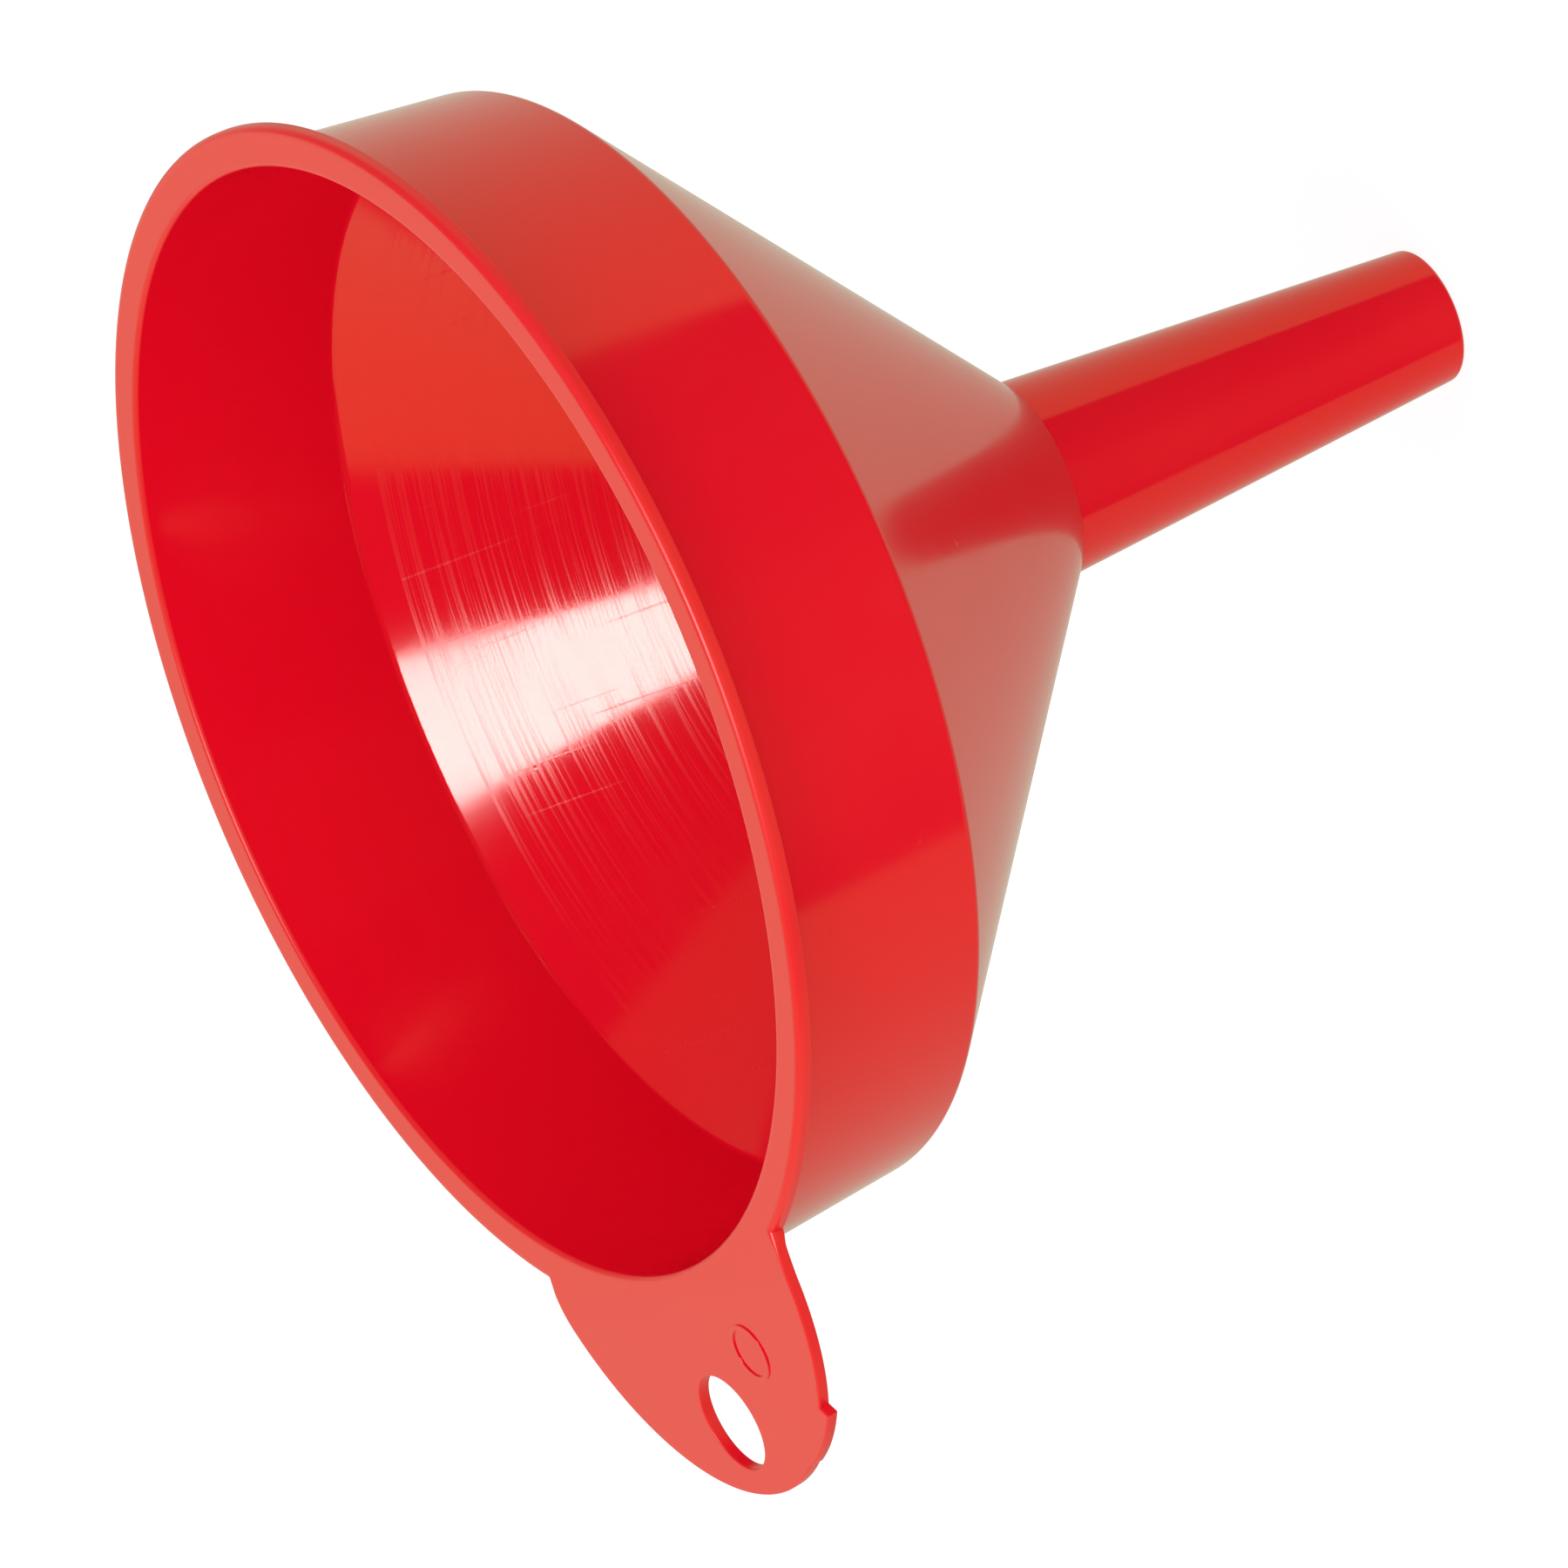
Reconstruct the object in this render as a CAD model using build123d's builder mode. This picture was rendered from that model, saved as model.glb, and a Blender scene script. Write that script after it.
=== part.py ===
"""One-piece moulded plastic funnel with a hanging tab, in millimetres.

The funnel stands spout down. The origin is the centre of the spout's open tip, +Z runs up
the funnel's axis and out of its mouth, and the hanging tab points along -X.

The real funnel is a single moulding. Here it is divided into its natural regions, and each
region is a closed solid that meets the next one face to face.
"""
from math import atan, cos, hypot, radians, sin, tan
import os

from build123d import *

# ---- driving dimensions ---------------------------------------------------------------
HEIGHT = 112.0              # spout tip to the plane of the mouth

RIM_RADIUS = 60.0           # outside of the flange round the mouth
RIM_THICKNESS = 1.5
RIM_EDGE_RADIUS = 0.4       # rounding of the flange's two outer edges
MOUTH_RADIUS = 56.0         # inside of the mouth, where the wall meets the flange's face
LIP_RADIUS = 0.5            # rounding of the mouth's inner lip

SKIRT_TOP_RADIUS = 57.6     # outside of the skirt, just under the flange
SHOULDER_RADIUS = 55.3      # outside of the skirt, where the cone begins
SHOULDER_Z = 88.8
SHOULDER_ROUND = 0.9        # rounding of the outer shoulder
CREASE_RADIUS = 53.5        # inside of the skirt, where the cone begins
CREASE_Z = 91.1
CREASE_ROUND = 1.0          # rounding of the inner crease

NECK_RADIUS = 10.8          # outside of the cone, where it ends in a ledge
NECK_Z = 47.0
THROAT_RADIUS = 8.4         # inside of the cone, where the spout's bore begins
THROAT_Z = 47.6
THROAT_ROUND = 3.0

SPOUT_ROOT_RADIUS = 10.0    # outside of the spout, under the ledge
TIP_RADIUS = 6.75           # outside of the spout, at its open tip
TIP_BORE_RADIUS = 5.2
TIP_ROUND = 0.5
TIP_BORE_ROUND = 0.3

SHOULDER_SEAM = 3.0         # how far down the cone's outside the skirt region reaches
NECK_SEAM = 3.0             # how far up the cone's outside the neck region reaches
SPOUT_SEAM_Z = 45.5         # where the neck region ends on the spout

TAB_RADIUS = 25.9           # the tab's outline is one round arc
TAB_CENTRE = 53.4           # distance of that arc's centre from the funnel's axis
TAB_THICKNESS = 1.2
TAB_HINGE = 58.0            # distance from the axis where the tab starts to droop
TAB_SLOPE = 0.116           # drop of the tab per millimetre outwards
TAB_BEND_RADIUS = 25.0
TAB_REACH = 82.0            # the slab that the tab is cut from ends here
TAB_HALF_WIDTH = 30.0       # and is this wide to each side

HOLE_RADIUS = 5.0
HOLE_OUT = 71.5             # distance of the hole's centre from the axis
HOLE_SIDE = 1.6             # and its distance from the tab's middle line, towards +Y

GATE_START = -45.0          # the gate's remnant on the tab's edge, in degrees round
GATE_END = -24.0            # the tab's arc, from the line pointing straight out
GATE_STEP = 1.3             # it stands this proud where it starts
GATE_FADE = 0.15            # and this proud where it ends

MARK_OUT = 65.0             # centre of a plain raised ring moulded on the tab
MARK_SIDE = -10.0
MARK_RADIUS = 3.0
MARK_LINE = 0.5             # width of the ring's line
MARK_HEIGHT = 0.15

# ---- values worked out from them --------------------------------------------------------
FLANGE_Z = HEIGHT - RIM_THICKNESS
TAB_ANGLE = atan(TAB_SLOPE)


def along(start, end, distance):
    """The point at a distance from start on the way to end, both as (radius, height)."""
    share = distance / hypot(end[0] - start[0], end[1] - start[1])
    return (start[0] + share * (end[0] - start[0]), start[1] + share * (end[1] - start[1]))


def radius_at(low, high, z):
    """The radius, at height z, of the straight wall through two (radius, height) points."""
    return low[0] + (high[0] - low[0]) * (z - low[1]) / (high[1] - low[1])


def square_across(point, start, end, low, high):
    """Where a cut at right angles to the wall start-end, made at point, meets wall low-high."""
    run = (end[0] - start[0], end[1] - start[1])
    wall = (high[0] - low[0], high[1] - low[1])
    offset = (point[0] - low[0]) * run[0] + (point[1] - low[1]) * run[1]
    share = offset / (wall[0] * run[0] + wall[1] * run[1])
    return (low[0] + share * wall[0], low[1] + share * wall[1])


SHOULDER = (SHOULDER_RADIUS, SHOULDER_Z)
SKIRT_TOP = (SKIRT_TOP_RADIUS, FLANGE_Z)
NECK = (NECK_RADIUS, NECK_Z)
CREASE = (CREASE_RADIUS, CREASE_Z)
THROAT = (THROAT_RADIUS, THROAT_Z)
MOUTH = (MOUTH_RADIUS, HEIGHT)
SPOUT_ROOT = (SPOUT_ROOT_RADIUS, NECK_Z)
TIP = (TIP_RADIUS, 0.0)
TIP_BORE = (TIP_BORE_RADIUS, 0.0)

MOUTH_SEAM_IN = (radius_at(CREASE, MOUTH, FLANGE_Z), FLANGE_Z)
SHOULDER_SEAM_OUT = along(SHOULDER, NECK, SHOULDER_SEAM)
SHOULDER_SEAM_IN = square_across(SHOULDER_SEAM_OUT, SHOULDER, NECK, THROAT, CREASE)
NECK_SEAM_OUT = along(NECK, SHOULDER, NECK_SEAM)
NECK_SEAM_IN = square_across(NECK_SEAM_OUT, NECK, SHOULDER, THROAT, CREASE)
SPOUT_SEAM_OUT = (radius_at(TIP, SPOUT_ROOT, SPOUT_SEAM_Z), SPOUT_SEAM_Z)
SPOUT_SEAM_IN = (radius_at(TIP_BORE, THROAT, SPOUT_SEAM_Z), SPOUT_SEAM_Z)


def rounded(corners, rounds):
    """Draw a (radius, height) outline in the open sketch, rounding some of its corners."""
    Polygon(*corners, align=None)
    for corner, radius in rounds:
        spot = Vector(corner[0], corner[1])
        nearest = vertices().sort_by_distance(spot)[0]
        fillet(nearest, radius=radius)


# ---- flange round the mouth ---------------------------------------------------------------
with BuildPart() as rim_flange:
    with BuildSketch(Plane.XZ):
        rounded(
            [MOUTH_SEAM_IN, MOUTH, (RIM_RADIUS, HEIGHT), (RIM_RADIUS, FLANGE_Z)],
            [(MOUTH, LIP_RADIUS),
             ((RIM_RADIUS, HEIGHT), RIM_EDGE_RADIUS),
             ((RIM_RADIUS, FLANGE_Z), RIM_EDGE_RADIUS)],
        )
    revolve(axis=Axis.Z)

# ---- skirt, with the shoulder and the first millimetres of the cone -----------------------
with BuildPart() as skirt_wall:
    with BuildSketch(Plane.XZ):
        rounded(
            [MOUTH_SEAM_IN, SKIRT_TOP, SHOULDER, SHOULDER_SEAM_OUT, SHOULDER_SEAM_IN, CREASE],
            [(SHOULDER, SHOULDER_ROUND), (CREASE, CREASE_ROUND)],
        )
    revolve(axis=Axis.Z)

# ---- cone ---------------------------------------------------------------------------------
with BuildPart() as cone_wall:
    with BuildSketch(Plane.XZ):
        rounded([SHOULDER_SEAM_OUT, SHOULDER_SEAM_IN, NECK_SEAM_IN, NECK_SEAM_OUT], [])
    revolve(axis=Axis.Z)

# ---- neck: the end of the cone, its ledge and the throat ----------------------------------
with BuildPart() as neck_ring:
    with BuildSketch(Plane.XZ):
        rounded(
            [NECK_SEAM_OUT, NECK, SPOUT_ROOT, SPOUT_SEAM_OUT, SPOUT_SEAM_IN, THROAT,
             NECK_SEAM_IN],
            [(THROAT, THROAT_ROUND)],
        )
    revolve(axis=Axis.Z)

# ---- spout --------------------------------------------------------------------------------
with BuildPart() as spout_tube:
    with BuildSketch(Plane.XZ):
        rounded(
            [SPOUT_SEAM_OUT, TIP, TIP_BORE, SPOUT_SEAM_IN],
            [(TIP, TIP_ROUND), (TIP_BORE, TIP_BORE_ROUND)],
        )
    revolve(axis=Axis.Z)


# ---- hanging tab --------------------------------------------------------------------------
def tab_slab():
    """The bent slab that the tab and the gate's remnant are cut from, as a private solid."""
    end_drop = (TAB_REACH - TAB_HINGE) * TAB_SLOPE
    under_hinge = TAB_HINGE - TAB_THICKNESS * tan(TAB_ANGLE / 2)
    under_end = (TAB_REACH - TAB_THICKNESS * sin(TAB_ANGLE),
                 HEIGHT - end_drop - TAB_THICKNESS * cos(TAB_ANGLE))
    inner = TAB_CENTRE - TAB_RADIUS
    with BuildPart(mode=Mode.PRIVATE) as slab:
        with BuildSketch(Plane.XZ):
            with BuildLine():
                top = FilletPolyline(
                    (-inner, HEIGHT), (-TAB_HINGE, HEIGHT), (-TAB_REACH, HEIGHT - end_drop),
                    radius=TAB_BEND_RADIUS,
                )
                under = FilletPolyline(
                    (-inner, HEIGHT - TAB_THICKNESS),
                    (-under_hinge, HEIGHT - TAB_THICKNESS),
                    (-under_end[0], under_end[1]),
                    radius=TAB_BEND_RADIUS - TAB_THICKNESS,
                )
                Line(top @ 0, under @ 0)
                Line(top @ 1, under @ 1)
            make_face()
        extrude(amount=TAB_HALF_WIDTH, both=True)
    return slab.part


def on_tab(out, side):
    """A plane on the tab's sloping face, at a distance out from the axis and to +Y."""
    drop = (out - TAB_HINGE) * TAB_SLOPE
    return Plane(
        origin=(-out, side, HEIGHT - drop),
        x_dir=(-cos(TAB_ANGLE), 0, -sin(TAB_ANGLE)),
        z_dir=(-sin(TAB_ANGLE), 0, cos(TAB_ANGLE)),
    )


def on_edge(angle, proud):
    """A point beyond the tab's round edge, in plan, at an angle from straight out."""
    reach = TAB_RADIUS + proud
    return (-TAB_CENTRE - reach * cos(radians(angle)), reach * sin(radians(angle)))


with BuildPart() as hang_tab:
    add(tab_slab())
    with BuildSketch(Plane.XY.offset(HEIGHT - RIM_RADIUS / 2)):
        with Locations((-TAB_CENTRE, 0)):
            Circle(TAB_RADIUS)
        Circle(RIM_RADIUS, mode=Mode.SUBTRACT)
    extrude(amount=RIM_RADIUS, mode=Mode.INTERSECT)
    with BuildSketch(on_tab(MARK_OUT, MARK_SIDE)):
        Circle(MARK_RADIUS)
        Circle(MARK_RADIUS - MARK_LINE, mode=Mode.SUBTRACT)
    extrude(amount=MARK_HEIGHT)
    with BuildSketch(on_tab(HOLE_OUT, HOLE_SIDE)):
        Circle(HOLE_RADIUS)
    extrude(amount=2 * TAB_THICKNESS, both=True, mode=Mode.SUBTRACT)

# ---- remnant of the gate on the tab's edge ------------------------------------------------
gate_middle = (GATE_START + GATE_END) / 2
with BuildPart() as gate_stub:
    add(tab_slab())
    with BuildSketch(Plane.XY.offset(HEIGHT - RIM_RADIUS / 2)):
        with BuildLine():
            outer = ThreePointArc(
                on_edge(GATE_START, GATE_STEP),
                on_edge(gate_middle, (GATE_STEP + GATE_FADE) / 2),
                on_edge(GATE_END, GATE_FADE),
            )
            inner = ThreePointArc(
                on_edge(GATE_START, 0), on_edge(gate_middle, 0), on_edge(GATE_END, 0),
            )
            Line(outer @ 0, inner @ 0)
            Line(outer @ 1, inner @ 1)
        make_face()
    extrude(amount=RIM_RADIUS, mode=Mode.INTERSECT)

# ---- write the regions --------------------------------------------------------------------
REGIONS = {
    "rim_flange": rim_flange,
    "hang_tab": hang_tab,
    "gate_stub": gate_stub,
    "skirt_wall": skirt_wall,
    "cone_wall": cone_wall,
    "neck_ring": neck_ring,
    "spout_tube": spout_tube,
}

os.makedirs("parts", exist_ok=True)
for name, region in REGIONS.items():
    region.part.label = name
    export_step(region.part, f"parts/{name}.step")
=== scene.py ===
"""The looks of a one-piece red plastic funnel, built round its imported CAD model, in metres.

The funnel stands spout down with its axis on Z, and its hanging tab points along -X.
"""
from math import asin, atan, atan2, cos, hypot, pi, radians, sin, sqrt, tan

import bmesh
import bpy
from mathutils import Matrix, Quaternion, Vector
from mathutils.geometry import delaunay_2d_cdt


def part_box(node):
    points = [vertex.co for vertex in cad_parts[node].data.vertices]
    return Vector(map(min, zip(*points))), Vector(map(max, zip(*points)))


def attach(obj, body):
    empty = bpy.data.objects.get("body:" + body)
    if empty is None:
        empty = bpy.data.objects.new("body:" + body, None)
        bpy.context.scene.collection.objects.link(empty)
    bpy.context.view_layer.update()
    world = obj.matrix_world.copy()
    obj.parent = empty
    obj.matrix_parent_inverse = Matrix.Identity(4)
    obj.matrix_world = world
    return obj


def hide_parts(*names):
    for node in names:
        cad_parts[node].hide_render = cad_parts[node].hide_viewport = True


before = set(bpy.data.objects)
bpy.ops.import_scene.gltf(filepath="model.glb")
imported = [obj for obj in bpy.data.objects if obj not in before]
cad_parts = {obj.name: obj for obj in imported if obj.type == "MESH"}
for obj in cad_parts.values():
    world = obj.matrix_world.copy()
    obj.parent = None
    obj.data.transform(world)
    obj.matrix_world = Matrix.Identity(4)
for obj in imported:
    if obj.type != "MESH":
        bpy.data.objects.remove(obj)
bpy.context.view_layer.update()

MM = 0.001

# ---- sizes taken from the CAD nodes ------------------------------------------------------------
rim_low, rim_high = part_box("rim_flange")
_, skirt_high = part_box("skirt_wall")
_, spout_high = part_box("spout_tube")

TOP = rim_high.z
RIM_RADIUS = rim_high.y
FLANGE_Z = rim_low.z
SKIRT_TOP_RADIUS = skirt_high.y
SPOUT_SEAM_Z = spout_high.z

# ---- sizes that the CAD boxes don't give, as (radius, height) or lengths -----------------------
MOUTH = (56.0 * MM, TOP)
CREASE = (53.5 * MM, 91.1 * MM)
THROAT = (8.4 * MM, 47.6 * MM)
TIP_BORE = (5.2 * MM, 0.0)
SKIRT_TOP = (SKIRT_TOP_RADIUS, FLANGE_Z)
SHOULDER = (55.3 * MM, 88.8 * MM)
NECK = (10.8 * MM, 47.0 * MM)
SPOUT_ROOT = (10.0 * MM, 47.0 * MM)
TIP = (6.75 * MM, 0.0)

LIP_ROUND = 0.5 * MM
RIM_TOP_ROUND = 0.7 * MM
RIM_UNDER_ROUND = 0.15 * MM
SHOULDER_ROUND = 0.9 * MM
CREASE_ROUND = 1.0 * MM
THROAT_ROUND = 3.0 * MM
NECK_ROUND = 0.25 * MM
ROOT_ROUND = 0.2 * MM
TIP_ROUND = 0.5 * MM
TIP_BORE_ROUND = 0.3 * MM
SHOULDER_SEAM = 3.0 * MM
NECK_SEAM = 3.0 * MM

FLANGE_THICKNESS = TOP - FLANGE_Z
TAB_RADIUS = 25.9 * MM
TAB_CENTRE = 53.4 * MM
TAB_THICKNESS = 1.2 * MM
TAB_HINGE = 58.0 * MM
TAB_ANGLE = atan(0.116)
TAB_BEND_RADIUS = 25.0 * MM
TAB_EDGE_ROUND = 0.2 * MM
TAB_BLEND = 1.5 * MM        # width over which the flange's thickness and rounds become the tab's
HOLE_RADIUS = 5.0 * MM
HOLE_OUT, HOLE_SIDE = 71.5 * MM, 1.6 * MM
HOLE_EDGE_ROUND = 0.15 * MM
GATE_START, GATE_END = radians(-45), radians(-24)
GATE_STEP, GATE_FADE = 1.3 * MM, 0.15 * MM
MARK_OUT, MARK_SIDE = 65.0 * MM, -10.0 * MM
MARK_RADIUS, MARK_LINE, MARK_HEIGHT = 3.0 * MM, 0.5 * MM, 0.15 * MM
MARK_DEPTH, MARK_ROUND = 0.3 * MM, 0.1 * MM

# ---- fineness of the meshes --------------------------------------------------------------------
SEGMENTS = 384              # round the funnel's axis
HOLE_SEGMENTS = 144
MARK_SEGMENTS = 96
TAB_STEPS = 170             # along the tab's edge
RING_STEP = 3.0 * MM        # rough distance between rings on a long straight wall
ARC_STEPS = 6               # facets in each small round
WALL_RINGS = 3              # down the straight part of the plate's edge
SUPPORT = 0.12 * MM         # distance from a round to the loop that keeps the wall beside it flat
SHARP_ANGLE = radians(32)
GATE_GAP = 0.022            # radians on each side of the gate's step with no other edge point
GATE_STEP_HALF = 0.0005     # radians from the middle of the gate's step to each of its two points
# points that share out the plate's flat faces: their radii on the flange, their spacing and number
# on the tab (rows each side of its middle, columns), and how far they keep from the loops there
FLANGE_ROWS = (57.6 * MM, 58.6 * MM)
TAB_PITCH, TAB_ROWS, TAB_COLUMNS = 1.1 * MM, 30, 40
EDGE_MARGIN, RIM_MARGIN, HOLE_MARGIN = 0.8 * MM, 0.6 * MM, 0.7 * MM

# ---- the plastic's finish; the scales are in noise cells to a metre ----------------------------
RED_DEEP, RED_BRIGHT = (0.72, 0.0025, 0.0160, 1.0), (0.77, 0.0035, 0.0195, 1.0)
GLOSS_TINT = (1.0, 1.0, 0.3, 1.0)
PLASTIC_IOR = 1.5
FACE_ROUGHNESS, EDGE_ROUGHNESS = (0.09, 0.15), (0.32, 0.42)
TONE_SCALE, TONE_DETAIL = 25.0, 3.0
WEAR_SCALE, WEAR_DETAIL, WEAR_RANGE = 60.0, 4.0, (0.35, 0.75)
PEEL_SCALE, PEEL_HEIGHT = 160.0, 0.002 * MM
SPECK_SCALE, SPECK_HEIGHT = 210.0, 0.008 * MM
SPECK_EDGE = (0.05, 0.09)       # from the speck's middle, as shares of a cell
SPECK_CHOICE = (0.90, 0.92)     # only the cells whose random value is above this have a speck
MARK_RELIEF = 0.0012 * MM
MARKS_PER_METRE = 6000.0
MARK_BREAKS, MARK_DETAIL = 1.6, 3.0     # the breaks are counted to a radian
MARK_RANGE, MARK_DULLNESS = (0.48, 0.62), 0.11
SCRATCH_TURN = radians(28)
SCRATCH_SCALE = (2600.0, 45.0, 45.0)
SCRATCH_RANGE = (0.77, 0.80)
SCRATCH_DEPTH, SCRATCH_DULLNESS = 0.001 * MM, 0.10


# ---- small helpers for outlines ----------------------------------------------------------------
def along(start, end, distance):
    """The point at a distance from start on the way to end."""
    share = distance / hypot(end[0] - start[0], end[1] - start[1])
    return (start[0] + share * (end[0] - start[0]), start[1] + share * (end[1] - start[1]))


def radius_at(low, high, z):
    """The radius, at height z, of the straight wall through two (radius, height) points."""
    return low[0] + (high[0] - low[0]) * (z - low[1]) / (high[1] - low[1])


def square_across(point, start, end, low, high):
    """Where a cut at right angles to the wall start-end, made at point, meets wall low-high."""
    run = (end[0] - start[0], end[1] - start[1])
    wall = (high[0] - low[0], high[1] - low[1])
    offset = (point[0] - low[0]) * run[0] + (point[1] - low[1]) * run[1]
    share = offset / (wall[0] * run[0] + wall[1] * run[1])
    return (low[0] + share * wall[0], low[1] + share * wall[1])


def rounded_corner(before, corner, after, radius):
    """The points of a round at a corner, with a support point just beyond each of its ends."""
    corner = Vector(corner)
    back = (Vector(before) - corner).normalized()
    on = (Vector(after) - corner).normalized()
    half = back.angle(on) / 2
    reach = radius / tan(half)
    centre = corner + (back + on).normalized() * radius / sin(half)
    first, last = corner + back * reach - centre, corner + on * reach - centre
    turn = first.angle_signed(last)
    points = [corner + back * (reach + SUPPORT)]
    for step in range(ARC_STEPS + 1):
        angle = turn * step / ARC_STEPS
        spoke = Matrix.Rotation(-angle, 2) @ first
        points.append(centre + spoke)
    points.append(corner + on * (reach + SUPPORT))
    return points


def outline(corners):
    """A closed outline from (point, round) pairs, its long straight runs divided evenly."""
    points = []
    for index, (corner, radius) in enumerate(corners):
        before, after = corners[index - 1][0], corners[(index + 1) % len(corners)][0]
        if radius:
            points += rounded_corner(before, corner, after, radius)
        else:
            points.append(Vector(corner))
    divided = []
    for index, point in enumerate(points):
        following = points[(index + 1) % len(points)]
        pieces = max(1, round((following - point).length / RING_STEP))
        divided += [point.lerp(following, part / pieces) for part in range(pieces)]
    return divided


def on_circle(radius, steps, offset=0.0):
    """Evenly spaced (x, y) places round the Z axis, the first turned on by offset steps."""
    turns = [2 * pi * (step + offset) / steps for step in range(steps)]
    return [(radius * cos(turn), radius * sin(turn)) for turn in turns]


# ---- meshes ------------------------------------------------------------------------------------
def solid(name, points, faces, materials, takes_second=None):
    """An object with outward normals, smooth shading with sharp corners, and its materials.

    Faces for which takes_second(face) is true take the second material.
    """
    mesh = bpy.data.meshes.new(name)
    mesh.from_pydata(points, [], faces)
    work = bmesh.new()
    work.from_mesh(mesh)
    bmesh.ops.recalc_face_normals(work, faces=work.faces)
    work.to_mesh(mesh)
    work.free()
    mesh.polygons.foreach_set("use_smooth", [True] * len(mesh.polygons))
    mesh.set_sharp_from_angle(angle=SHARP_ANGLE)
    for material in materials:
        mesh.materials.append(material)
    if takes_second:
        for polygon in mesh.polygons:
            polygon.material_index = int(takes_second(polygon))
    piece = bpy.data.objects.new(name, mesh)
    bpy.context.scene.collection.objects.link(piece)
    return piece


def faces_axis(polygon):
    """Whether a face looks towards the Z axis."""
    return polygon.center.to_2d().dot(polygon.normal.to_2d()) < 0


def lathe(name, profile, materials, place=Matrix.Identity(4), segments=SEGMENTS):
    """A solid of revolution about the Z axis of place, from a closed (radius, height) outline.

    Where there is a second material, it goes on the inside.
    """
    turns = [2 * pi * segment / segments for segment in range(segments)]
    points = [
        place @ Vector((radius * cos(turn), radius * sin(turn), height))
        for turn in turns for radius, height in profile
    ]
    count = len(profile)
    faces = []
    for segment in range(segments):
        here, there = segment * count, (segment + 1) % segments * count
        for index in range(count):
            after = (index + 1) % count
            faces.append((here + index, here + after, there + after, there + index))
    return solid(name, points, faces, materials, faces_axis if len(materials) > 1 else None)


# ---- shader nodes ------------------------------------------------------------------------------
MIX_SOCKETS = {"FLOAT": (2, 3, 0), "RGBA": (6, 7, 2)}   # a mix node's two inputs and its output


def node(tree, kind, links=None, **settings):
    """A new node, with its settings, and its inputs linked or given a value."""
    made = tree.nodes.new(kind)
    for key, value in settings.items():
        setattr(made, key, value)
    for key, value in (links or {}).items():
        if isinstance(value, bpy.types.NodeSocket):
            tree.links.new(value, made.inputs[key])
        else:
            made.inputs[key].default_value = value
    return made


def maths(tree, operation, first, second=0.0, third=0.0):
    """The result of one maths node."""
    inputs = {0: first, 1: second, 2: third}
    return node(tree, "ShaderNodeMath", inputs, operation=operation).outputs[0]


def mixed(tree, kind, share, first, second):
    """A mix of two values or colours: first where share is 0, second where it is 1."""
    low, high, result = MIX_SOCKETS[kind]
    inputs = {0: share, low: first, high: second}
    return node(tree, "ShaderNodeMix", inputs, data_type=kind).outputs[result]


def ramp(tree, value, limits, at_low, at_high):
    """A smooth step of value: at_low up to the first limit, at_high from the second on."""
    made = node(tree, "ShaderNodeMapRange", {
        "Value": value, "From Min": limits[0], "From Max": limits[1],
        "To Min": at_low, "To Max": at_high}, interpolation_type="SMOOTHSTEP")
    return made.outputs["Result"]


def noise(tree, place, scale, detail=2.0):
    """Smooth noise at a place, as a value about 0 to 1."""
    made = node(tree, "ShaderNodeTexNoise", {"Vector": place, "Scale": scale, "Detail": detail})
    return made.outputs["Fac"]


# ---- materials ---------------------------------------------------------------------------------
def turning_marks(tree, place):
    """Fine marks round the Z axis, broken along their length, as a value about 0 to 1."""
    apart = node(tree, "ShaderNodeSeparateXYZ", {"Vector": place})
    across = maths(tree, "SQRT", maths(tree, "ADD",
        maths(tree, "MULTIPLY", apart.outputs["X"], apart.outputs["X"]),
        maths(tree, "MULTIPLY", apart.outputs["Y"], apart.outputs["Y"])))
    round_axis = maths(tree, "ARCTAN2", apart.outputs["X"], apart.outputs["Y"])
    stretched = node(tree, "ShaderNodeCombineXYZ", {
        "X": maths(tree, "MULTIPLY", across, MARKS_PER_METRE),
        "Y": maths(tree, "MULTIPLY", round_axis, MARK_BREAKS)})
    return noise(tree, stretched.outputs["Vector"], 1.0, MARK_DETAIL)


def scratches(tree, place):
    """A few long straight scratches across the turning marks, 1 in a scratch and 0 elsewhere."""
    turned = node(tree, "ShaderNodeMapping", {
        "Vector": place, "Rotation": (0.0, 0.0, SCRATCH_TURN), "Scale": SCRATCH_SCALE})
    return ramp(tree, noise(tree, turned.outputs["Vector"], 1.0, 0.0), SCRATCH_RANGE, 0.0, 1.0)


def specks(tree, place):
    """Small raised specks, each on its own, 1 on a speck and 0 elsewhere."""
    cells = node(tree, "ShaderNodeTexVoronoi", {"Vector": place, "Scale": SPECK_SCALE})
    near = ramp(tree, cells.outputs["Distance"], SPECK_EDGE, 1.0, 0.0)
    random = node(tree, "ShaderNodeSeparateColor", {"Color": cells.outputs["Color"]})
    chosen = ramp(tree, random.outputs["Red"], SPECK_CHOICE, 0.0, 1.0)
    return maths(tree, "MULTIPLY", near, chosen)


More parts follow.
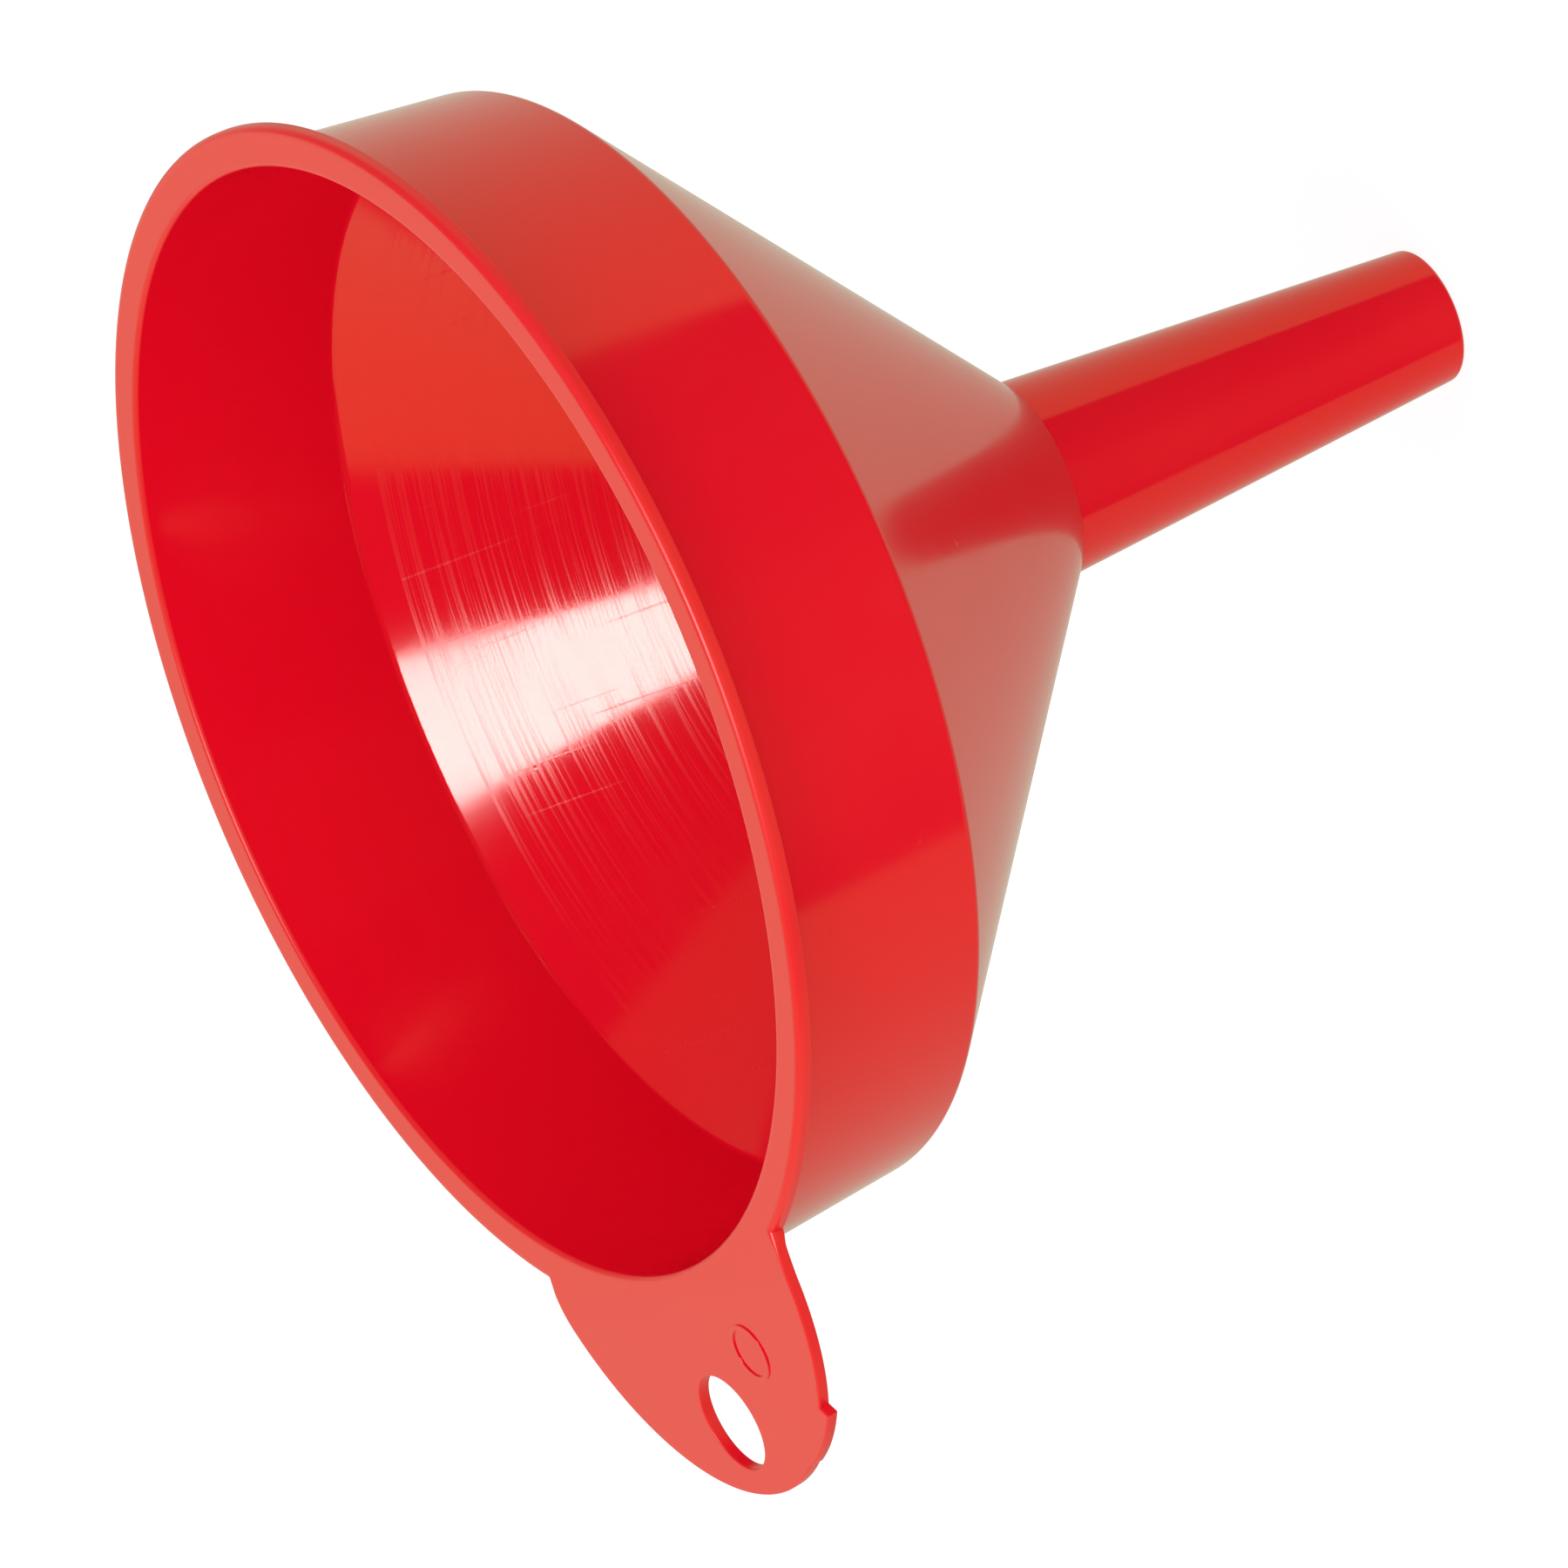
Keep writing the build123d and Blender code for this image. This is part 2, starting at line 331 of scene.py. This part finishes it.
def red_plastic(name, roughness_range, turned=False):
    """Glossy red plastic; turned adds the marks that the cone's mould core was turned with."""
    material = bpy.data.materials.new(name)
    material.use_nodes = True
    tree = material.node_tree
    tree.nodes.clear()
    place = node(tree, "ShaderNodeTexCoord").outputs["Object"]
    tone = noise(tree, place, TONE_SCALE, TONE_DETAIL)
    relief = maths(tree, "MULTIPLY", noise(tree, place, PEEL_SCALE), PEEL_HEIGHT)
    relief = maths(tree, "MULTIPLY_ADD", specks(tree, place), SPECK_HEIGHT, relief)
    worn = noise(tree, place, WEAR_SCALE, WEAR_DETAIL)
    roughness = ramp(tree, worn, WEAR_RANGE, *roughness_range)
    if turned:
        marks = turning_marks(tree, place)
        cuts = scratches(tree, place)
        relief = maths(tree, "MULTIPLY_ADD", marks, MARK_RELIEF, relief)
        relief = maths(tree, "MULTIPLY_ADD", cuts, -SCRATCH_DEPTH, relief)
        dullness = ramp(tree, marks, MARK_RANGE, 0.0, MARK_DULLNESS)
        roughness = maths(tree, "ADD", roughness, dullness)
        roughness = maths(tree, "MULTIPLY_ADD", cuts, SCRATCH_DULLNESS, roughness)
    bump = node(tree, "ShaderNodeBump", {"Height": relief, "Strength": 1.0, "Distance": 1.0})
    shader = node(tree, "ShaderNodeBsdfPrincipled", {
        "Base Color": mixed(tree, "RGBA", tone, RED_DEEP, RED_BRIGHT),
        "Roughness": roughness,
        "IOR": PLASTIC_IOR,
        "Specular Tint": GLOSS_TINT,
        "Normal": bump.outputs["Normal"],
    })
    node(tree, "ShaderNodeOutputMaterial", {"Surface": shader.outputs["BSDF"]})
    return material


plastic = red_plastic("moulded_red", FACE_ROUGHNESS)
edge_plastic = red_plastic("edge_red", EDGE_ROUGHNESS)
moulded = [plastic, red_plastic("turned_red", FACE_ROUGHNESS, turned=True)]

# ---- the funnel's turned regions ---------------------------------------------------------------
MOUTH_SEAM_IN = (radius_at(CREASE, MOUTH, FLANGE_Z), FLANGE_Z)
SHOULDER_SEAM_OUT = along(SHOULDER, NECK, SHOULDER_SEAM)
SHOULDER_SEAM_IN = square_across(SHOULDER_SEAM_OUT, SHOULDER, NECK, THROAT, CREASE)
NECK_SEAM_OUT = along(NECK, SHOULDER, NECK_SEAM)
NECK_SEAM_IN = square_across(NECK_SEAM_OUT, NECK, SHOULDER, THROAT, CREASE)
SPOUT_SEAM_OUT = (radius_at(TIP, SPOUT_ROOT, SPOUT_SEAM_Z), SPOUT_SEAM_Z)
SPOUT_SEAM_IN = (radius_at(TIP_BORE, THROAT, SPOUT_SEAM_Z), SPOUT_SEAM_Z)

skirt = lathe("funnel_skirt", outline([
    (MOUTH_SEAM_IN, 0), (SKIRT_TOP, 0), (SHOULDER, SHOULDER_ROUND), (SHOULDER_SEAM_OUT, 0),
    (SHOULDER_SEAM_IN, 0), (CREASE, CREASE_ROUND)]), [plastic])
cone = lathe("funnel_cone", outline([
    (SHOULDER_SEAM_OUT, 0), (NECK_SEAM_OUT, 0), (NECK_SEAM_IN, 0), (SHOULDER_SEAM_IN, 0)]),
    moulded)
neck = lathe("funnel_neck", outline([
    (NECK_SEAM_OUT, 0), (NECK, NECK_ROUND), (SPOUT_ROOT, ROOT_ROUND), (SPOUT_SEAM_OUT, 0),
    (SPOUT_SEAM_IN, 0), (THROAT, THROAT_ROUND), (NECK_SEAM_IN, 0)]), moulded)
spout = lathe("funnel_spout", outline([
    (SPOUT_SEAM_OUT, 0), (TIP, TIP_ROUND), (TIP_BORE, TIP_BORE_ROUND), (SPOUT_SEAM_IN, 0)]),
    [plastic])


# ---- flange and tab, one plate -----------------------------------------------------------------
class Plate:
    """The points and faces of the plate's mesh, in the order in which they are laid."""

    def __init__(self):
        self.points = []
        self.faces = []

    def lay(self, points):
        """Add points, and give their numbers."""
        start = len(self.points)
        self.points += points
        return range(start, len(self.points))

    def skin(self, rings):
        """Cover the bands between each ring of point numbers and the next."""
        for first, second in zip(rings, rings[1:]):
            size = len(first)
            for here in range(size):
                there = (here + 1) % size
                self.faces.append((first[here], first[there], second[there], second[here]))


def droop(x):
    """How far the tab's top lies below the mouth's plane at x, and its slope there, in radians."""
    out = -x - (TAB_HINGE - TAB_BEND_RADIUS * tan(TAB_ANGLE / 2))
    if out <= 0:
        return 0.0, 0.0
    if out < TAB_BEND_RADIUS * sin(TAB_ANGLE):
        slope = asin(out / TAB_BEND_RADIUS)
        return TAB_BEND_RADIUS * (1 - cos(slope)), slope
    return (-x - TAB_HINGE) * tan(TAB_ANGLE), TAB_ANGLE


def on_plate(x, y, depth):
    """A point of the plate, at a depth under its top face, square to that face."""
    drop, slope = droop(x)
    return Vector((x + depth * sin(slope), y, TOP - drop - depth * cos(slope)))


def gate_proud(angle):
    """How far the gate's remnant stands out of the tab's edge, at an angle round the tab."""
    if not GATE_START <= angle <= GATE_END:
        return 0.0
    share = (angle - GATE_START) / (GATE_END - GATE_START)
    return GATE_STEP + share * (GATE_FADE - GATE_STEP)


def tab_share(radius):
    """0 within the flange's radius, rising to 1 a little way out on the tab."""
    return min(1.0, max(0.0, (radius - RIM_RADIUS) / TAB_BLEND))


def thickness(x, y):
    """The plate's thickness, which eases from the flange's into the tab's."""
    share = tab_share(hypot(x, y))
    share = share * share * (3 - 2 * share)
    return FLANGE_THICKNESS + share * (TAB_THICKNESS - FLANGE_THICKNESS)


def plate_outline():
    """The edge of flange and tab in plan, as (x, y) points, the flange's part first."""
    meet_x = (RIM_RADIUS ** 2 + TAB_CENTRE ** 2 - TAB_RADIUS ** 2) / (2 * TAB_CENTRE)
    rim_end = pi - atan2(sqrt(RIM_RADIUS ** 2 - meet_x ** 2), meet_x)
    tab_end = atan2(sqrt(RIM_RADIUS ** 2 - meet_x ** 2), meet_x - TAB_CENTRE)
    rim_steps = round(2 * rim_end / (2 * pi) * SEGMENTS)
    points = []
    for step in range(rim_steps + 1):
        angle = -rim_end + 2 * rim_end * step / rim_steps
        points.append(Vector((RIM_RADIUS * cos(angle), RIM_RADIUS * sin(angle))))
    turns = [tab_end - 2 * tab_end * step / TAB_STEPS for step in range(1, TAB_STEPS)]
    turns = [turn for turn in turns if abs(turn - GATE_START) > GATE_GAP]
    turns += [GATE_START + GATE_STEP_HALF, GATE_START - GATE_STEP_HALF]
    for angle in sorted(turns, reverse=True):
        reach = TAB_RADIUS + gate_proud(angle)
        points.append(Vector((-TAB_CENTRE - reach * cos(angle), reach * sin(angle))))
    return points


def hole_outline():
    """The hanging hole in plan, round when it is seen square to the sloping tab."""
    turns = [2 * pi * step / HOLE_SEGMENTS for step in range(HOLE_SEGMENTS)]
    return [Vector((-HOLE_OUT + HOLE_RADIUS * cos(TAB_ANGLE) * cos(turn),
                    HOLE_SIDE + HOLE_RADIUS * sin(turn))) for turn in turns]


def inset(points, distances, inward):
    """A closed outline moved sideways, each point by its own distance."""
    moved = []
    for index, point in enumerate(points):
        before, after = points[index - 1], points[(index + 1) % len(points)]
        run = ((point - before).normalized() + (after - point).normalized()).normalized()
        edge = (after - point).normalized()
        side = Vector((-run.y, run.x)) * inward
        stretch = 1 / max(0.5, abs(run.dot(edge)))
        moved.append(point + side * distances[index] * stretch)
    return moved


def edge_rings():
    """(inset, depth) of a rounded edge as shares of its radius, from the face to the wall."""
    quarter = pi / 2 / ARC_STEPS
    return [(1 - sin(quarter * s), 1 - cos(quarter * s)) for s in range(ARC_STEPS + 1)]


def edge_wall(plate, loop, top_rounds, under_rounds, inward):
    """Rings from the top face round the edge, down the wall and round to the underside.

    The first and the last ring are given back, each as (plan, point numbers).
    """
    thick = [thickness(point.x, point.y) for point in loop]
    arc = edge_rings()

    def ring(plan, depths):
        return plate.lay([on_plate(p.x, p.y, depth) for p, depth in zip(plan, depths)])

    top_plan = inset(loop, [r + SUPPORT for r in top_rounds], inward)
    rings = [ring(top_plan, [0.0] * len(loop))]
    for share_in, share_down in arc:
        plan = inset(loop, [r * share_in for r in top_rounds], inward)
        rings.append(ring(plan, [r * share_down for r in top_rounds]))
    for level in range(WALL_RINGS):
        part = level / (WALL_RINGS - 1)
        rings.append(ring(loop, [
            top + SUPPORT / 2 + part * (t - top - under - SUPPORT)
            for top, under, t in zip(top_rounds, under_rounds, thick)]))
    for share_in, share_down in reversed(arc):
        plan = inset(loop, [r * share_in for r in under_rounds], inward)
        rings.append(ring(plan, [t - r * share_down for r, t in zip(under_rounds, thick)]))
    under_plan = inset(loop, [r + SUPPORT for r in under_rounds], inward)
    rings.append(ring(under_plan, thick))
    plate.skin(rings)
    return (top_plan, rings[0]), (under_plan, rings[-1])


def mouth_wall(plate):
    """The mouth's rounded lip and the wall below it, given back as edge_wall does."""
    lip = outline([((MOUTH[0] + 2 * MM, TOP), 0), (MOUTH, LIP_ROUND), (MOUTH_SEAM_IN, 0)])
    lip = [point for point in lip if point.x < MOUTH[0] + LIP_ROUND + 2 * SUPPORT]
    lip.sort(key=lambda point: (-point.y, -point.x))
    mouth = [Vector(place) for place in on_circle(MOUTH[0], SEGMENTS)]
    rings = []
    for radius, height in lip:
        rings.append(plate.lay([
            Vector((m.x, m.y, 0)) * radius / MOUTH[0] + Vector((0, 0, height)) for m in mouth]))
    plate.skin(rings)
    return [([plate.points[i].to_2d() for i in ring], ring) for ring in (rings[0], rings[-1])]


def inner_places():
    """(x, y) places that share out the flat faces: rows round the flange, a grid on the tab."""
    places = [place for radius in FLANGE_ROWS for place in on_circle(radius, SEGMENTS, 0.5)]
    for row in range(-TAB_ROWS, TAB_ROWS + 1):
        for column in range(TAB_COLUMNS):
            x = -TAB_CENTRE - (column + 0.5 * (row % 2)) * TAB_PITCH
            y = row * TAB_PITCH * sqrt(3) / 2
            in_edge = hypot(x + TAB_CENTRE, y) < TAB_RADIUS - EDGE_MARGIN
            off_rim = hypot(x, y) > RIM_RADIUS - RIM_MARGIN
            off_hole = hypot(x + HOLE_OUT, y - HOLE_SIDE) > HOLE_RADIUS + HOLE_MARGIN
            if in_edge and off_rim and off_hole:
                places.append((x, y))
    return places


def flat_face(plate, edge, mouth, hole, inner, depth_at):
    """The triangles inside the edge loop and outside the mouth's and the hole's loops."""
    plan, numbers, edges = [], [], []
    for loop_plan, loop_numbers in (edge, mouth, hole):
        start, size = len(plan), len(loop_plan)
        plan += loop_plan
        numbers += loop_numbers
        edges += [(start + i, start + (i + 1) % size) for i in range(size)]
    plan += [Vector(place) for place in inner]
    numbers += plate.lay([on_plate(x, y, depth_at(x, y)) for x, y in inner])
    made, _, triangles, origins, _, _ = delaunay_2d_cdt(plan, edges, [], 1, 1e-9)
    mouth_radius = mouth[0][0].length
    hole_rim = HOLE_RADIUS + HOLE_EDGE_ROUND + SUPPORT
    for triangle in triangles:
        middle = sum((made[i] for i in triangle), Vector((0, 0))) / 3
        from_hole = hypot((middle.x + HOLE_OUT) / cos(TAB_ANGLE), middle.y - HOLE_SIDE)
        if middle.length >= mouth_radius and from_hole >= hole_rim:
            plate.faces.append([numbers[origins[i][0]] for i in triangle])


def on_an_edge(polygon):
    """Whether a face is on the flange's and tab's outer edge, or on the mouth's rounded lip."""
    slanted = abs(polygon.normal.z) < cos(TAB_ANGLE + radians(3))
    outside = polygon.center.to_2d().length > MOUTH[0] + 2 * MM
    return slanted and (outside or polygon.center.z > TOP - LIP_ROUND)


def flange_and_tab():
    """The flange and the tab as one plate: its three walls, then its two flat faces."""
    plate = Plate()
    edge = plate_outline()
    on_tab = [tab_share(point.length) for point in edge]
    top_rounds = [RIM_TOP_ROUND + share * (TAB_EDGE_ROUND - RIM_TOP_ROUND) for share in on_tab]
    under_rounds = [
        RIM_UNDER_ROUND + share * (TAB_EDGE_ROUND - RIM_UNDER_ROUND) for share in on_tab]
    hole_rounds = [HOLE_EDGE_ROUND] * HOLE_SEGMENTS
    edge_top, edge_under = edge_wall(plate, edge, top_rounds, under_rounds, 1)
    hole_top, hole_under = edge_wall(plate, hole_outline(), hole_rounds, hole_rounds, -1)
    mouth_top, mouth_under = mouth_wall(plate)
    inner = inner_places()
    flat_face(plate, edge_top, mouth_top, hole_top, inner, lambda x, y: 0.0)
    flat_face(plate, edge_under, mouth_under, hole_under, inner, thickness)
    return solid("funnel_flange_and_tab", plate.points, plate.faces, [plastic, edge_plastic], on_an_edge)


flange = flange_and_tab()

# ---- plain raised ring on the tab --------------------------------------------------------------
drop, slope = droop(-MARK_OUT)
mark_place = Matrix.Translation((-MARK_OUT, MARK_SIDE, TOP - drop)) @ Matrix.Rotation(-slope, 4, "Y")
mark_inner = MARK_RADIUS - MARK_LINE
mark = lathe("tab_mark_ring", outline([
    ((mark_inner, -MARK_DEPTH), 0), ((MARK_RADIUS, -MARK_DEPTH), 0),
    ((MARK_RADIUS, MARK_HEIGHT), MARK_ROUND), ((mark_inner, MARK_HEIGHT), MARK_ROUND)]),
    [plastic], mark_place, MARK_SEGMENTS)

# ---- what stands for what ----------------------------------------------------------------------
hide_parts("rim_flange", "hang_tab", "gate_stub")
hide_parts("skirt_wall")
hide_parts("cone_wall")
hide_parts("neck_ring")
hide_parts("spout_tube")
for piece in (flange, skirt, cone, neck, spout, mark):
    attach(piece, "root")

# ---- floor; the funnel neither mirrors it nor is lit by it -------------------------------------
FLOOR_HALF = 6.0
FLOOR_Z = -0.2 * MM         # just below the spout's tip
FLOOR_COLOUR, FLOOR_GLOW = (0.2, 0.2, 0.2, 1.0), 0.9


def matt_floor():
    """A large pale sheet under the funnel, which glows to match the backdrop."""
    mesh = bpy.data.meshes.new("floor")
    corners = [(-1, -1), (1, -1), (1, 1), (-1, 1)]
    mesh.from_pydata([(x * FLOOR_HALF, y * FLOOR_HALF, FLOOR_Z) for x, y in corners], [], [(0, 1, 2, 3)])
    sheet = bpy.data.objects.new("floor", mesh)
    bpy.context.scene.collection.objects.link(sheet)
    material = bpy.data.materials.new("floor")
    material.use_nodes = True
    shader = material.node_tree.nodes["Principled BSDF"]
    shader.inputs["Base Color"].default_value = FLOOR_COLOUR
    shader.inputs["Roughness"].default_value = 0.9
    shader.inputs["Specular IOR Level"].default_value = 0.0
    shader.inputs["Emission Color"].default_value = (1, 1, 1, 1)
    shader.inputs["Emission Strength"].default_value = FLOOR_GLOW
    mesh.materials.append(material)
    sheet.visible_glossy = False
    sheet.visible_diffuse = False
    return sheet


floor = matt_floor()

# ---- camera ------------------------------------------------------------------------------------
TARGET = Vector((-17.61, 1.63, 81.04)) * MM
AZIMUTH, ELEVATION, ROLL = radians(3.80), radians(24.81), radians(-112.974)
DISTANCE = 2.0658
LENS, SENSOR = 498.75, 36.0     # the camera's own millimetres

camera_data = bpy.data.cameras.new("camera")
camera_data.lens = LENS
camera_data.sensor_width = SENSOR
camera_data.clip_start, camera_data.clip_end = 0.1, 50.0
camera = bpy.data.objects.new("camera", camera_data)
bpy.context.scene.collection.objects.link(camera)
back = Vector((sin(AZIMUTH) * cos(ELEVATION), -cos(AZIMUTH) * cos(ELEVATION), sin(ELEVATION)))
camera.location = TARGET + back * DISTANCE
camera.rotation_mode = "QUATERNION"
camera.rotation_quaternion = (-back).to_track_quat("-Z", "Y") @ Quaternion((0, 0, 1), ROLL)
bpy.context.scene.camera = camera


# ---- light -------------------------------------------------------------------------------------
def towards(azimuth, elevation):
    """A unit vector at an azimuth from +X and an elevation, in degrees."""
    a, e = radians(azimuth), radians(elevation)
    return Vector((cos(a) * cos(e), sin(a) * cos(e), sin(e)))


TENT_OPENING, OPENING_HALF_ANGLE = towards(-88.5, 10.6), radians(74.3)
DARK_FLAG, FLAG_HALF_ANGLE = towards(-60, 50), radians(43.7)
GREY_FLAG, GREY_HALF_ANGLE = towards(22, 40), radians(42)
GLOW, GLOW_HALF_ANGLE, GLOW_SOFTNESS = towards(-112, -35), radians(20), 0.12
TENT_WHITE, GREY, EDGE_SOFTNESS = 0.88, 0.26, 0.012
TENT_TINT = (1.0, 1.0, 0.80, 1.0)
LOW_LEFT, LOW_RIGHT = 0.64, 0.88    # the lower half's brightness at -X and +X, as shares of the upper
LOW_DARK, LOW_GLOW = 0.06, 0.11     # the opening's lower half, and what the table's glow adds to it
SIDE_FADE = (-0.8, 0.8)             # the direction's x, from -X's brightness to +X's
LOW_FADE = (-0.5, 0.0)              # the direction's z, from the lower half's brightness to the upper's
GLOW_FADE = (-0.3, 0.0)             # the direction's z, from the lowest brightness to none
FILL_RIGHT, FILL_LEFT, FILL_FRONT, FILL_BACK, FILL_ABOVE = 0.70, 1.10, 1.52, 0.85, 0.22
BACKDROP = 1.0

SOFTBOX_AZIMUTH, SOFTBOX_ELEVATION = -87.0, 69.0
SOFTBOX_DISTANCE = 1.5
SOFTBOX_AIM = Vector((0, 0, 70 * MM))
SOFTBOX_BLUE = (0.33, 0.33, 1.0)    # makes up for the yellow tint of the plastic's gloss


def inside_cap(tree, direction, centre, half_angle, softness=EDGE_SOFTNESS):
    """1 where direction is within half_angle of centre, 0 outside, with a soft edge."""
    dot = node(tree, "ShaderNodeVectorMath", {0: direction, 1: centre}, operation="DOT_PRODUCT")
    edge = cos(half_angle)
    return ramp(tree, dot.outputs["Value"], (edge - softness, edge + softness), 0.0, 1.0)


def tent_in_gloss(tree, direction, axes):
    """What shines in the gloss: a white tent with a dark opening round the camera.

    A dark flag stands above the camera and a grey one at +X, and the table glows faintly.
    """
    grey_share = inside_cap(tree, direction, GREY_FLAG, GREY_HALF_ANGLE)
    tent = ramp(tree, grey_share, (0.0, 1.0), TENT_WHITE, GREY)
    low_share = ramp(tree, axes.outputs["X"], SIDE_FADE, LOW_LEFT, LOW_RIGHT)
    tent = maths(tree, "MULTIPLY", tent, ramp(tree, axes.outputs["Z"], LOW_FADE, low_share, 1.0))
    for centre, half_angle in ((TENT_OPENING, OPENING_HALF_ANGLE), (DARK_FLAG, FLAG_HALF_ANGLE)):
        dark = inside_cap(tree, direction, centre, half_angle)
        tent = maths(tree, "MULTIPLY", tent, maths(tree, "SUBTRACT", 1.0, dark))
    glow_share = inside_cap(tree, direction, GLOW, GLOW_HALF_ANGLE, GLOW_SOFTNESS)
    glow = maths(tree, "MULTIPLY_ADD", LOW_GLOW, glow_share, LOW_DARK)
    glow = maths(tree, "MULTIPLY", glow, ramp(tree, axes.outputs["Z"], GLOW_FADE, 1.0, 0.0))
    return maths(tree, "MAXIMUM", tent, glow)


def soft_fill(tree, axes):
    """The soft light that gives the body its colour, from five sides of the room."""
    sides = (("X", 1, FILL_RIGHT), ("X", -1, FILL_LEFT), ("Y", -1, FILL_FRONT),
             ("Y", 1, FILL_BACK), ("Z", 1, FILL_ABOVE))
    fill = 0.0
    for axis, sign, strength in sides:
        facing = maths(tree, "MAXIMUM", maths(tree, "MULTIPLY", axes.outputs[axis], sign), 0.0)
        squared = maths(tree, "MULTIPLY", facing, facing)
        fill = maths(tree, "MULTIPLY_ADD", squared, strength, fill)
    return fill


def light_tent():
    """A world that is a tent in the gloss, a soft fill on the body and a white backdrop."""
    world = bpy.data.worlds.new("light_tent")
    world.use_nodes = True
    tree = world.node_tree
    tree.nodes.clear()
    direction = node(tree, "ShaderNodeTexCoord").outputs["Generated"]
    axes = node(tree, "ShaderNodeSeparateXYZ", {"Vector": direction})
    rays = node(tree, "ShaderNodeLightPath").outputs
    tent = tent_in_gloss(tree, direction, axes)
    strength = mixed(tree, "FLOAT", rays["Is Diffuse Ray"], tent, soft_fill(tree, axes))
    strength = mixed(tree, "FLOAT", rays["Is Camera Ray"], strength, BACKDROP)
    tint = mixed(tree, "RGBA", rays["Is Glossy Ray"], (1.0, 1.0, 1.0, 1.0), TENT_TINT)
    background = node(tree, "ShaderNodeBackground", {"Color": tint, "Strength": strength})
    node(tree, "ShaderNodeOutputWorld", {"Surface": background.outputs["Background"]})
    return world


def softbox(name, half_width, half_height, radiance):
    """A rectangular light over the funnel, by its half-angles in degrees."""
    data = bpy.data.lights.new(name, "AREA")
    data.shape = "RECTANGLE"
    data.size = 2 * SOFTBOX_DISTANCE * tan(radians(half_width))
    data.size_y = 2 * SOFTBOX_DISTANCE * tan(radians(half_height))
    data.energy = radiance * pi * data.size * data.size_y
    box = bpy.data.objects.new(name, data)
    bpy.context.scene.collection.objects.link(box)
    toward = towards(SOFTBOX_AZIMUTH, SOFTBOX_ELEVATION)
    box.location = SOFTBOX_AIM + toward * SOFTBOX_DISTANCE
    box.rotation_mode = "QUATERNION"
    box.rotation_quaternion = (-toward).to_track_quat("-Z", "Y")
    box.visible_camera = False
    return box


bpy.context.scene.world = light_tent()
# two lights in one place: the one only shines in the gloss, the other only lights the body
shine = softbox("softbox_shine", half_width=10.2, half_height=7.5, radiance=64.0)
shine.data.color = SOFTBOX_BLUE
shine.visible_diffuse = False
fill = softbox("softbox_fill", half_width=10.2, half_height=13.0, radiance=9.5)
fill.visible_glossy = False

bpy.context.scene.view_settings.view_transform = "Standard"
